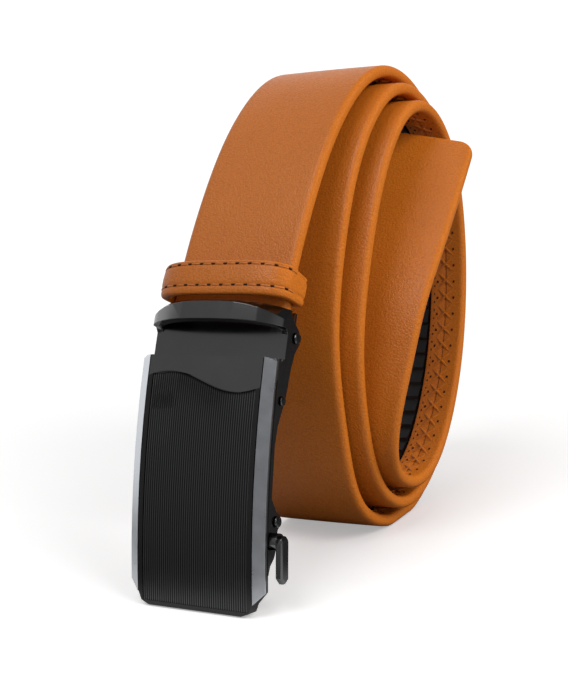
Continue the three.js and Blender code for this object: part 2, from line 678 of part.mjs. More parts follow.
// Flap behind the strap's end: it turns on the clamp's pin, and its teeth face the leather.
function clampFlap() {
  const half = WALL_INNER - FIT_GAP;
  const toothTip = STRAP_CENTRE_OUT - STRAP_THICKNESS / 2 - FIT_GAP;
  const front = toothTip - FLAP_TOOTH;
  const back = front - FLAP_THICKNESS;
  const top = CLAMP_PIN_ALONG + FLAP_REACH;
  const plate = solid(sidePlate([
    { along: CLAMP_PIN_ALONG - 0.6, out: back + 0.3 },
    { along: CLAMP_PIN_ALONG + 0.6, out: back },
    { along: top, out: back },
    { along: top, out: front },
    { along: CLAMP_PIN_ALONG + BARREL_RADIUS, out: front },
    { along: CLAMP_PIN_ALONG + 0.4, out: -CLAMP_PIN_DEPTH - PIN_RADIUS - FIT_GAP - 0.2 },
    { along: CLAMP_PIN_ALONG - 0.6, out: -CLAMP_PIN_DEPTH - PIN_RADIUS - FIT_GAP - 0.2 },
  ], -half, half));
  const pitch = 2 * half / FLAP_TEETH;
  const teeth = Array.from({ length: FLAP_TEETH }, (_, i) => {
    const middle = -half + (i + 0.5) * pitch;
    const base = front - 0.2;
    return solid(sidePlate([
      { along: top - 2.2, out: base },
      { along: top - 1.4, out: toothTip },
      { along: top - 0.6, out: base },
    ], middle - 0.3 * pitch, middle + 0.3 * pitch));
  });
  return geometryOf(joined(barrel(CLAMP_PIN_ALONG, CLAMP_PIN_DEPTH, half), plate, ...teeth));
}

// Pawl behind the free end's way through the buckle: a plain toothed plate on its own pin
function pawl() {
  const half = WALL_INNER - FIT_GAP;
  const back = -PAWL_PIN_DEPTH - 0.9;
  const front = back + 1;
  const top = PAWL_PIN_ALONG + PAWL_REACH;
  const plate = solid(sidePlate([
    { along: PAWL_PIN_ALONG + PIN_RADIUS + FIT_GAP + 0.2, out: back },
    { along: top, out: back },
    { along: top, out: NECK_FRONT - 0.3 },
    { along: top - 1, out: front },
    { along: PAWL_PIN_ALONG + PIN_RADIUS + FIT_GAP + 0.2, out: front },
  ], -TRACK_WIDTH / 2, TRACK_WIDTH / 2));
  return geometryOf(joined(barrel(PAWL_PIN_ALONG, PAWL_PIN_DEPTH, half), plate));
}

// Lever outside the right wall, with a collar and the shaft that turns in the wall
function releaseLever() {
  const seat = WALL_OUTER + FIT_GAP;
  const inner = seat + COLLAR_LENGTH;
  const shaft = solid(turned(SHAFT_ALONG, -SHAFT_DEPTH, [
    { across: WALL_INNER, radius: SHAFT_RADIUS },
    { across: seat, radius: SHAFT_RADIUS },
    { across: seat + 0.01, radius: COLLAR_RADIUS },
    { across: inner + 0.3, radius: COLLAR_RADIUS },
  ]));
  const half = LEVER_WIDTH / 2;
  const top = SHAFT_ALONG + half;
  const low = top - LEVER_LENGTH;
  const outlineAt = (trim) => {
    const w = half - trim;
    const arc = steps(0, Math.PI, 6).map((angle) => [SHAFT_ALONG + w * Math.sin(angle), w * Math.cos(angle)]);
    const foot = [[low + 1.2, -w], [low + trim, -w + 1.1], [low + trim, w - 1.3], [low + 1.6, w]];
    return [...arc, ...foot].map(([along, out]) => ({ along, out: out - SHAFT_DEPTH }));
  };
  const places = [[0, 0.3], [0.4, 0], [LEVER_THICKNESS - LEVER_BEVEL, 0], [LEVER_THICKNESS, LEVER_BEVEL]];
  const rings = places.map(([across, trim]) => (
    outlineAt(trim).map((p) => onFace(inner + across, p.along, p.out))
  ));
  const handle = loft(rings, outlineAt(0).map((p) => new THREE.Vector2(p.along, p.out)));
  return geometryOf(joined(solid(handle), shaft));
}

function part(name, geometry, look) {
  const flat = geometry.toNonIndexed();
  flat.computeVertexNormals();
  const mesh = new THREE.Mesh(flat, new THREE.MeshStandardMaterial(look));
  mesh.name = name;
  return mesh;
}

const belt = new THREE.Group();
belt.add(
  part('strap', strap(), LEATHER),
  part('ratchet_track', ratchetTrack(), PLASTIC),
  part('keeper_loop', keeperLoop(), LEATHER),
);

const buckle = new THREE.Group();
buckle.add(
  part('face_plate', facePlate(), BLACK_METAL),
  part('side_trim_left', sideTrim(-1), SILVER),
  part('side_trim_right', sideTrim(1), SILVER),
  part('buckle_housing', buckleHousing(), BLACK_METAL),
  part('clamp_flap', clampFlap(), BLACK_METAL),
  part('clamp_pin', crossPin(CLAMP_PIN_ALONG, CLAMP_PIN_DEPTH), BLACK_METAL),
  part('housing_rivet_left', wallRivet(-1), BLACK_METAL),
  part('housing_rivet_right', wallRivet(1), BLACK_METAL),
  part('pawl', pawl(), BLACK_METAL),
  part('pawl_pin', crossPin(PAWL_PIN_ALONG, PAWL_PIN_DEPTH), BLACK_METAL),
  part('release_lever', releaseLever(), BLACK_METAL),
);
belt.add(buckle);

export default belt;
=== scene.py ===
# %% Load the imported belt
import math

import bmesh
import bpy
import numpy as np
from mathutils import Matrix, Vector


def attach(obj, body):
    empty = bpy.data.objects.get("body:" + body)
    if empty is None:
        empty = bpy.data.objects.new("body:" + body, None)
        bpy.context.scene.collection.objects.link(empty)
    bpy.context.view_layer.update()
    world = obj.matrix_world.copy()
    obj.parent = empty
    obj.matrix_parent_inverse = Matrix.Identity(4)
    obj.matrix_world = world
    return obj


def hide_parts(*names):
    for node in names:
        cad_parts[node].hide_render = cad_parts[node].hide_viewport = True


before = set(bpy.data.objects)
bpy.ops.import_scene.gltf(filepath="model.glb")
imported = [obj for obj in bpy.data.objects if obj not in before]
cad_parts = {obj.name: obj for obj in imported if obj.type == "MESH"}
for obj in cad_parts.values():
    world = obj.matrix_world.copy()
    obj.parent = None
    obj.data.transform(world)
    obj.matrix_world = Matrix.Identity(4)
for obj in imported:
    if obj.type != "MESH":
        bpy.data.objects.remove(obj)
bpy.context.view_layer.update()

print("CAD nodes:", sorted(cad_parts))

# %% [markdown]
# # A coiled ratchet belt
# The belt stands on its rim in a coil of a little over three turns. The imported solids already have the
# right places and sizes. This scene gives them their looks: leather with its grain, stitches, a black
# plated buckle with ribs, and a soft white studio. All lengths below are typed in millimetres, because
# that is how a belt maker would say them, and one value turns them into Blender's metres.

# %% Units, colours and nodes
MM = 0.001


def linear(hex_colour):
    """An sRGB colour such as '#b8672a' as the linear colour that Blender's nodes read."""
    channels = [int(hex_colour[i:i + 2], 16) / 255 for i in (1, 3, 5)]
    return [c / 12.92 if c <= 0.04045 else ((c + 0.055) / 1.055) ** 2.4 for c in channels] + [1]


def add(tree, kind, inputs=None, **settings):
    """Adds a node, sets its own settings, then sets or links its inputs."""
    made = tree.nodes.new(kind)
    for name, value in settings.items():
        setattr(made, name, value)
    for name, value in (inputs or {}).items():
        if isinstance(value, bpy.types.NodeSocket):
            tree.links.new(value, made.inputs[name])
        else:
            made.inputs[name].default_value = value
    return made


def per_size(millimetres):
    """The scale of a noise or cell pattern whose features are this big."""
    return 1000 / millimetres


# %% [markdown]
# ## The camera
# The camera was matched to the photograph: with a strap 35 mm wide, the camera stands 41 cm away, a little
# to the right and a little above, and it is rolled by 5 degrees. A camera's matrix has its own right, up and
# backward directions as columns, so the matched directions go straight in.

# %% Camera
PICTURE_HEIGHT = 699
FOCAL_PIXELS = 1369.8
SENSOR_WIDTH = 36
CAMERA_PLACE = (191.7, -353.9, 124.9)
CAMERA_RIGHT = (0.8637, 0.49683, -0.08478)
CAMERA_FORWARD = (-0.50368, 0.84475, -0.18082)
camera = bpy.data.objects.new("camera", bpy.data.cameras.new("camera"))
bpy.context.scene.collection.objects.link(camera)
right = Vector(CAMERA_RIGHT).normalized()
forward = Vector(CAMERA_FORWARD).normalized()
up = right.cross(forward).normalized()
turn = Matrix((right, up, -forward)).transposed().to_4x4()
camera.matrix_world = Matrix.Translation(Vector(CAMERA_PLACE) * MM) @ turn
camera.data.sensor_width = SENSOR_WIDTH
camera.data.lens = FOCAL_PIXELS * camera.data.sensor_width / PICTURE_HEIGHT
camera.data.clip_start = 0.01
bpy.context.scene.camera = camera
print("lens", round(camera.data.lens, 2), "mm")

# %% [markdown]
# ## The strap's route
# Every leather piece follows the strap, so its centre line comes first. It is the same rule as in the
# solids: a table gives the outermost turn, the next turns lie inside it with some slack, and the free end
# leans across the middle. A spline through these points is evened out and moved sideways turn by turn.

# %% Sizes of the strap and its coil
STRAP_WIDTH, STRAP_THICKNESS = 35, 3.5
COIL_HEIGHT, COIL_DEPTH, COIL_SPREAD = 133, 100, 18.5
PLY_GAP = 0.4
TRACK_LENGTH, TRACK_WIDTH, TRACK_SEAT, TRACK_END_MARGIN = 285, 12.6, 1, 8
TAIL_CORNER_RADIUS = 4.5

# depth, height, slack of the second turn, slack of the third turn, as shares of the coil
STATIONS = np.array([
    (-0.458, 0.251, 0.021, 0.006),
    (-0.479, 0.435, 0.022, 0.017),
    (-0.468, 0.690, 0.085, 0.029),
    (-0.218, 0.893, 0.034, 0.028),
    (0.050, 0.993, 0.010, 0.014),
    (0.265, 0.962, 0.008, 0.000),
    (0.442, 0.823, 0.012, 0.002),
    (0.519, 0.626, 0.017, 0.019),
    (0.509, 0.419, 0.023, 0.029),
    (0.427, 0.230, 0.033, 0.029),
    (0.262, 0.083, 0.029, 0.024),
    (0.055, -0.002, 0.015, 0.013),
    (-0.135, -0.003, 0.008, 0.016),
    (-0.334, 0.080, 0.023, 0.004),
])
TAIL = np.array([
    (-0.264, 0.170), (-0.276, 0.266), (-0.207, 0.406), (-0.158, 0.498), (-0.005, 0.632), (0.235, 0.825),
])
DRIFT_TURNS = (0, 0.18, 1.18, 2.18, 2.5, 2.64, 2.8, 3.1)
DRIFT_SHARES = (0, -0.02, 0.23, 0.45, 0.5, 0.59, 0.4, 1.17)
TAIL_TWIST, TAIL_TWIST_LENGTH = 0.31, 90

# The buckle's face is an arc, and places on it are given across, along and out of it.
FACE_BEND_RADIUS, FACE_LEAN, FACE_FRONT_Y = 227, 0.1187, -87.5
FACE_WIDTH, RIM_DEPTH = 40.3, 2.9


def on_face(across, along, out):
    """Places on the bent face of the buckle, in millimetres."""
    turn = FACE_LEAN + np.asarray(along, float) / FACE_BEND_RADIUS
    y = FACE_FRONT_Y + FACE_BEND_RADIUS * (math.cos(FACE_LEAN) - np.cos(turn))
    z = FACE_BEND_RADIUS * (np.sin(turn) - math.sin(FACE_LEAN)) + RIM_DEPTH * math.sin(FACE_LEAN)
    return np.stack(np.broadcast_arrays(across, y - out * np.cos(turn), z + out * np.sin(turn)), -1)


# %% Spline through points
class Spline:
    """A centripetal Catmull-Rom spline that is read by length."""

    def __init__(self, points, divisions):
        self.points = np.asarray(points, float)
        self.table_t = np.linspace(0, 1, divisions + 1)
        places = self.at(self.table_t)
        gaps = np.linalg.norm(np.diff(places, axis=0), axis=1)
        self.table_length = np.concatenate([[0], np.cumsum(gaps)])
        self.length = self.table_length[-1]

    def at(self, t):
        p = self.points
        first, last = 2 * p[:1] - p[1:2], 2 * p[-1:] - p[-2:-1]
        padded = np.concatenate([first, p, last])
        place = np.clip(np.asarray(t), 0, 1) * (len(p) - 1)
        i = np.minimum(place.astype(int), len(p) - 2)
        w = (place - i)[:, None]
        a, b, c, d = (padded[i + k] for k in range(4))
        gap = [np.maximum(np.linalg.norm(q - r, axis=1, keepdims=True), 1e-9) ** 0.5
               for q, r in ((b, a), (c, b), (d, c))]
        start = (b - a) / gap[0] - (c - a) / (gap[0] + gap[1]) + (c - b) / gap[1]
        end = (c - b) / gap[1] - (d - b) / (gap[1] + gap[2]) + (d - c) / gap[2]
        start, end = start * gap[1], end * gap[1]
        return (b + start * w + (3 * (c - b) - 2 * start - end) * w ** 2
                + (2 * (b - c) + start + end) * w ** 3)

    def by_length(self, length):
        return self.at(np.interp(length, self.table_length, self.table_t))


# %% Coil route
STRAP_START_ALONG = 73.6
KEEPER_START_ALONG = 80.3
KEEPER_HEIGHT = 8.2
NECK_BACK = -6.3
FIT_GAP = 0.3
STRAP_CENTRE_OUT = NECK_BACK - FIT_GAP - STRAP_THICKNESS / 2
ROUTE_STEP, ROUTE_TABLE_STEPS = 3, 3000
HELD_LENGTH = 12
EVENING_PASSES, DRIFT_PASSES = 14, 56


def inside(points, distances):
    """Points moved into the coil by their own distances."""
    ahead = np.roll(points, -1, axis=0) - np.roll(points, 1, axis=0)
    inward = np.stack([ahead[:, 1], -ahead[:, 0]], -1)
    inward /= np.linalg.norm(inward, axis=1, keepdims=True)
    return points + inward * np.reshape(distances, (-1, 1))


def coil_route():
    """Evenly spaced places of the strap's centre line, from the buckle to the free end."""
    outer = STATIONS[:, :2] * (COIL_DEPTH, COIL_HEIGHT)
    pitch = STRAP_THICKNESS + PLY_GAP
    first = inside(outer, np.full(len(outer), STRAP_THICKNESS / 2))
    second = inside(first, pitch + STATIONS[:, 2] * COIL_HEIGHT)
    third = inside(second, pitch + STATIONS[:, 3] * COIL_HEIGHT)
    along = np.linspace(STRAP_START_ALONG, KEEPER_START_ALONG + KEEPER_HEIGHT / 2, 3)
    start = on_face(0, along, STRAP_CENTRE_OUT)[:, 1:]
    knots = np.concatenate([start, first[2:], second, third, TAIL * (COIL_DEPTH, COIL_HEIGHT)])
    curve = Spline(np.insert(knots, 0, 0, axis=1), ROUTE_TABLE_STEPS)
    count = round(curve.length / ROUTE_STEP)
    route = curve.by_length(np.linspace(0, curve.length, count + 1))
    # The stretch that the buckle holds and the very end stay where they are.
    free = np.linalg.norm(route - route[0], axis=1) >= HELD_LENGTH
    free[-1] = False
    for _ in range(EVENING_PASSES):
        middle = (np.roll(route, 1, axis=0) + np.roll(route, -1, axis=0)) / 2
        route = np.where(free[:, None], (route + middle) / 2, route)
    route[:, 2] = np.maximum(route[:, 2], STRAP_THICKNESS / 2)
    step = np.diff(route, axis=0)
    size = np.linalg.norm(step, axis=1)
    cosine = (step[1:] * step[:-1]).sum(1) / size[1:] / size[:-1]
    turns = np.concatenate([[0], np.cumsum(np.arccos(np.clip(cosine, -1, 1)))]) / (2 * math.pi)
    turns = np.append(turns, turns[-1])
    x = COIL_SPREAD * np.interp(turns, DRIFT_TURNS, DRIFT_SHARES)
    for _ in range(DRIFT_PASSES):
        x[1:-1] = (x[:-2] + 2 * x[1:-1] + x[2:]) / 4
    route[:, 0] = x
    return route


route = coil_route()
strap_line = Spline(route, 4 * len(route))
STRAP_LENGTH = strap_line.length
print("strap length", round(STRAP_LENGTH, 1), "mm")

# How far before and after a place the line is read to find its direction there.
NEAR = 0.2


def strap_frames(lengths):
    """Centre, across, outward and ahead at lengths along the strap."""
    lengths = np.asarray(lengths, float)
    inner = np.clip(lengths, NEAR, STRAP_LENGTH - NEAR)
    ahead = strap_line.by_length(inner + NEAR) - strap_line.by_length(inner - NEAR)
    ahead /= np.linalg.norm(ahead, axis=1, keepdims=True)
    across = np.array([1.0, 0, 0]) - ahead * ahead[:, :1]
    across /= np.linalg.norm(across, axis=1, keepdims=True)
    twist = TAIL_TWIST * np.clip(1 - (STRAP_LENGTH - lengths) / TAIL_TWIST_LENGTH, 0, 1)[:, None]
    across = across * np.cos(twist) + np.cross(ahead, across) * np.sin(twist)
    return strap_line.by_length(lengths), across, np.cross(across, ahead), ahead


def on_strap(length, x, y):
    """Places beside the strap's centre line: x across it and y outward, in millimetres."""
    centre, across, outward, _ = strap_frames(np.ravel(length))
    x, y = np.ravel(x)[:, None], np.ravel(y)[:, None]
    return centre + across * x + outward * y


# %% [markdown]
# ## Making a mesh from rings
# A strap and a loop are both lofts: the same closed outline repeated along a path, with each ring
# joined to the next. One helper does it for both of them. It can close the ends with a face each, or join
# the last ring to the first, as a loop needs.

# %% Loft helper
def new_mesh(name, places, faces, slots=None):
    """A mesh object with its faces turned outward and shaded smooth."""
    mesh = bpy.data.meshes.new(name)
    mesh.from_pydata((np.asarray(places) * MM).tolist(), [], faces)
    if slots is not None:
        mesh.polygons.foreach_set("material_index", slots)
    shape = bmesh.new()
    shape.from_mesh(mesh)
    bmesh.ops.recalc_face_normals(shape, faces=shape.faces)
    shape.to_mesh(mesh)
    shape.free()
    mesh.shade_smooth()
    made = bpy.data.objects.new(name, mesh)
    bpy.context.scene.collection.objects.link(made)
    return made


def loft(name, rings, looped=False, slot_of=None):
    """rings is an array of rings, each of the same number of places."""
    count, size = rings.shape[:2]
    faces, slots = [], []
    for r in range(count if looped else count - 1):
        low, high = r * size, (r + 1) % count * size
        for i in range(size):
            j = (i + 1) % size
            faces.append((low + i, low + j, high + j, high + i))
            slots.append(slot_of(r, i) if slot_of else 0)
    if not looped:
        faces.append(list(range(size))[::-1])
        faces.append([(count - 1) * size + i for i in range(size)])
        slots += [0, 0]
    return new_mesh(name, rings.reshape(-1, 3), faces, slots)


def sharpen(made, degrees):
    """Keeps the edges sharp where two faces meet at more than this angle."""
    made.data.set_sharp_from_angle(angle=math.radians(degrees))
    return made


# %% [markdown]
# ## The leather
# The strap is cowhide, dyed tan and finished with a thin clear coat, so it has a soft shine over a fine
# pebble grain. Cell noise makes the pebbles, a broad noise makes the dye a little uneven, and the shine
# gives the long soft highlights on the round edges. Nothing is painted, so it holds from any side.

# %% Leather materials
GRAIN_MM = 0.5
PORE_MM = 0.9
DYE_CLOUD_MM = 30
BUMP_STRENGTH = 0.5
COAT_SHINE = 0.4


def leather(name, light, dark, roughness, grain_height):
    """Dyed leather with pebbles and pores, whose grain is this many millimetres high."""
    made = bpy.data.materials.new(name)
    made.use_nodes = True
    tree = made.node_tree
    surface = tree.nodes["Principled BSDF"]
    place = add(tree, "ShaderNodeTexCoord").outputs["Object"]
    clouds = add(tree, "ShaderNodeTexNoise", {
        "Vector": place, "Scale": per_size(DYE_CLOUD_MM), "Detail": 4, "Roughness": 0.6})
    pebbles = add(tree, "ShaderNodeTexVoronoi", {
        "Vector": place, "Scale": per_size(GRAIN_MM), "Smoothness": 0.6}, feature="SMOOTH_F1")
    pores = add(tree, "ShaderNodeTexNoise", {
        "Vector": place, "Scale": per_size(PORE_MM), "Detail": 3, "Roughness": 0.55})
    dye = add(tree, "ShaderNodeMapRange", {
        "Value": clouds.outputs["Fac"], "From Min": 0.3, "From Max": 0.7})
    colour = add(tree, "ShaderNodeMix", {
        0: dye.outputs["Result"], 6: linear(dark), 7: linear(light)}, data_type="RGBA")
    crease = add(tree, "ShaderNodeMapRange", {
        "Value": pebbles.outputs["Distance"], "From Min": 0.1, "From Max": 0.75,
        "To Min": 1.03, "To Max": 0.84})
    shaded = add(tree, "ShaderNodeMix", {
        0: 1.0, 6: colour.outputs[2], 7: crease.outputs["Result"]},
        data_type="RGBA", blend_type="MULTIPLY")
    height = add(tree, "ShaderNodeMath", {
        0: pebbles.outputs["Distance"], 1: pores.outputs["Fac"]}, operation="SUBTRACT")
    relief = add(tree, "ShaderNodeBump", {
        "Height": height.outputs["Value"], "Strength": BUMP_STRENGTH, "Distance": grain_height * MM},
        invert=True)
    gloss = add(tree, "ShaderNodeMapRange", {
        "Value": pores.outputs["Fac"], "From Min": 0.3, "From Max": 0.7,
        "To Min": roughness - 0.05, "To Max": roughness + 0.07})
    tree.links.new(shaded.outputs[2], surface.inputs["Base Color"])
    tree.links.new(gloss.outputs["Result"], surface.inputs["Roughness"])
    tree.links.new(relief.outputs["Normal"], surface.inputs["Normal"])
    surface.inputs["Specular IOR Level"].default_value = COAT_SHINE
    return made


tan_leather = leather("coated_cowhide", "#c26b1c", "#bb6619", 0.4, 0.2)
lining_leather = leather("split_leather_lining", "#bc6720", "#b4611d", 0.48, 0.17)
print("leathers:", tan_leather.name, lining_leather.name)

# %% [markdown]
# ## The strap
# A good belt is wrapped: the top leather is folded round both edges and meets the lining in a butt seam on
# the back. So the outline has round edges, a very slightly domed front, and a fine groove at each seam.
# The free end has a channel in its back for the toothed track, and its corners are rounded.

# %% Strap
EDGE_RADIUS = 1.5
SEAM_AT = 11.6
SEAM_DEPTH = 0.28
CROWN = 0.1
TRACK_STOP = STRAP_LENGTH - TRACK_END_MARGIN
TRACK_START = TRACK_STOP - TRACK_LENGTH
CHANNEL_HALF = TRACK_WIDTH / 2 + 0.3
RING_STEP, CHANNEL_RING_STEP = 1.6, 1.25
TIP_THINNING = 1.1


def strap_outline(half_width, half_thickness, channel):
    """The wrapped outline of the strap, as places across and outward."""
    r = min(EDGE_RADIUS, half_thickness)
    x, y = half_width - r, half_thickness - r
    arc = np.linspace(0, math.pi / 2, 6)
    corner = np.stack([x + r * np.cos(arc), y + r * np.sin(arc)], -1)
    top = np.linspace(0.94 * x, 0, 6)
    front = np.stack([top, half_thickness + CROWN * (1 - (top / x) ** 2)], -1)
    seam = min(SEAM_AT, x - 0.5)
    back = np.array([
        (0, channel), (CHANNEL_HALF - 0.05, channel), (CHANNEL_HALF, channel), (CHANNEL_HALF + 0.25, 0.02),
        (CHANNEL_HALF + 0.5, 0), (seam - 0.35, 0), (seam - 0.1, SEAM_DEPTH), (seam + 0.1, SEAM_DEPTH),
        (seam + 0.35, -0.04), (seam + 1, 0),
    ]) + (0, -half_thickness)
    right_side = np.concatenate([back, (corner * (1, -1))[::-1], corner, front])
    left_side = right_side[1:-1][::-1] * (-1, 1)
    return np.concatenate([right_side, left_side])


def strap_rings():
    """The strap's outline along its whole length, with the channel and the rounded free end."""
    ahead = np.concatenate([
        np.arange(0, TRACK_START, RING_STEP), np.arange(TRACK_START, TRACK_STOP, CHANNEL_RING_STEP),
        np.linspace(TRACK_STOP, TRACK_STOP + 0.3, 2), [STRAP_LENGTH - TAIL_CORNER_RADIUS - 1],
    ])
    rounding = np.linspace(0, 1.45, 12)
    tip = STRAP_LENGTH - TAIL_CORNER_RADIUS * (1 - np.sin(rounding))
    rings = []
    for length in np.concatenate([ahead, tip]):
        inset = max(0, length - (STRAP_LENGTH - TAIL_CORNER_RADIUS)) / TAIL_CORNER_RADIUS
        half_width = STRAP_WIDTH / 2 - TAIL_CORNER_RADIUS * (1 - math.sqrt(1 - inset ** 2))
        rim = max(0, length - (STRAP_LENGTH - EDGE_RADIUS)) / EDGE_RADIUS
        half_thickness = STRAP_THICKNESS / 2 - TIP_THINNING * (1 - math.sqrt(max(0, 1 - rim ** 2)))
        channel = TRACK_SEAT if TRACK_START <= length < TRACK_STOP + 0.1 else 0
        outline = strap_outline(half_width, half_thickness, channel)
        rings.append(on_strap(np.full(len(outline), length), outline[:, 0], outline[:, 1]))
    return np.array(rings)


rings = strap_rings()
outline = strap_outline(STRAP_WIDTH / 2, STRAP_THICKNESS / 2, 0)
in_lining = (outline[:, 1] < 0) & (np.abs(outline[:, 0]) < SEAM_AT + 0.2)
lining_slots = (in_lining & np.roll(in_lining, -1)).astype(int).tolist()
strap = loft("leather_strap", rings, slot_of=lambda ring, corner: lining_slots[corner])
strap.data.materials.append(tan_leather)
strap.data.materials.append(lining_leather)
sharpen(strap, 50)
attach(strap, "root")
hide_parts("strap")
print("strap faces", len(strap.data.polygons))

# %% [markdown]
# ## The keeper loop
# The keeper is a narrow folded band that stands off the strap in front, so the free end can pass under
# it. Its section is a small pillow with two sunk rows for the stitches. The section is carried round the
# loop, and the loop follows the strap's own direction, so it stays square to the leather it holds.

# %% Keeper loop
KEEPER_THICKNESS = 1.6
KEEPER_SIDE_ROOM, KEEPER_FRONT_ROOM = 0.4, 5.6
KEEPER_ARCH_SQUARENESS = 0.5
KEEPER_CORNER_RADIUS, BAND_EDGE_RADIUS = 0.9, 0.7
BAND_SWELL, ROW_GROOVE, ROW_GROOVE_HALF = 0.16, 0.2, 0.42
ARCH_STEPS = 72
KEEPER_START = KEEPER_START_ALONG - STRAP_START_ALONG
STITCH_ROWS = (2.1, 7.0)


def keeper_outline(grow):
    """Closed outline of the keeper, as places across and outward. It begins with the arch."""
    half = STRAP_WIDTH / 2 + KEEPER_SIDE_ROOM + grow
    back = -STRAP_THICKNESS / 2 - FIT_GAP - grow
    front = STRAP_THICKNESS / 2 + FIT_GAP + grow
    angle = np.linspace(math.pi, 0, ARCH_STEPS)
    cosine = np.cos(angle)
    arch = np.stack([half * np.sign(cosine) * np.abs(cosine) ** KEEPER_ARCH_SQUARENESS,
                     front + KEEPER_FRONT_ROOM * np.sin(angle)], -1)
    radius = KEEPER_CORNER_RADIUS
    arc = np.linspace(0, math.pi / 2, 6)
    corner = np.stack([half - radius + radius * np.cos(arc), back + radius - radius * np.sin(arc)], -1)
    bottom = np.linspace(half - radius, -half + radius, 10)[1:-1]
    base = np.stack([bottom, np.full_like(bottom, back)], -1)
    return np.concatenate([arch, corner, base, (corner * (-1, 1))[::-1]])


def keeper_section():
    """Places of the folded band's section: how far out of the inner face, and how far along."""
    t, h, r = KEEPER_THICKNESS, KEEPER_HEIGHT, BAND_EDGE_RADIUS
    arc = np.linspace(0, math.pi / 2, 6)
    out, along = np.cos(arc), np.sin(arc)
    lower = np.stack([t - r + r * out, r - r * along], -1)[::-1]
    rows = []
    for at in np.linspace(r, h - r, 23)[1:-1]:
        sunk = sum(math.exp(-((at - row) / ROW_GROOVE_HALF) ** 2) for row in STITCH_ROWS)
        swell = math.sin(math.pi * at / h)
        rows.append((t + BAND_SWELL * swell - ROW_GROOVE * sunk, at))
    upper = np.stack([t - r + r * out, h - r + r * along], -1)
    inner = np.array([(0.15, h - 0.05), (0, h - 0.3), (0, h / 2), (0, 0.3), (0.15, 0.05)])
    return np.concatenate([lower, rows, upper, inner])


section = keeper_section()
keeper_rings = []
for grow, along in section:
    ring = keeper_outline(grow)
    keeper_rings.append(on_strap(np.full(len(ring), KEEPER_START + along), ring[:, 0], ring[:, 1]))
keeper = loft("keeper_loop_leather", np.array(keeper_rings), looped=True)
keeper.data.materials.append(tan_leather)
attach(keeper, "root")
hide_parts("keeper_loop")
print("keeper faces", len(keeper.data.polygons))

# %% [markdown]
# ## One tree for every stitch
# A stitch is a short thread that comes up through one needle hole and goes down through the next. The
# tree below takes a line of places that knows its own outward and forward directions, steps along it at
# the stitch pitch, and puts one curved thread on every step. When it is told to cross them, it puts two
# on every step, which is how the seams on the strap's back are laced. Its short threads are needle holes.

# %% Stitch tree
def group_input(tree, name, kind, value=None):
    """Adds a named input to a node group."""
    socket = tree.interface.new_socket(name, in_out="INPUT", socket_type=kind)
    if value is not None:
        socket.default_value = value
    return socket


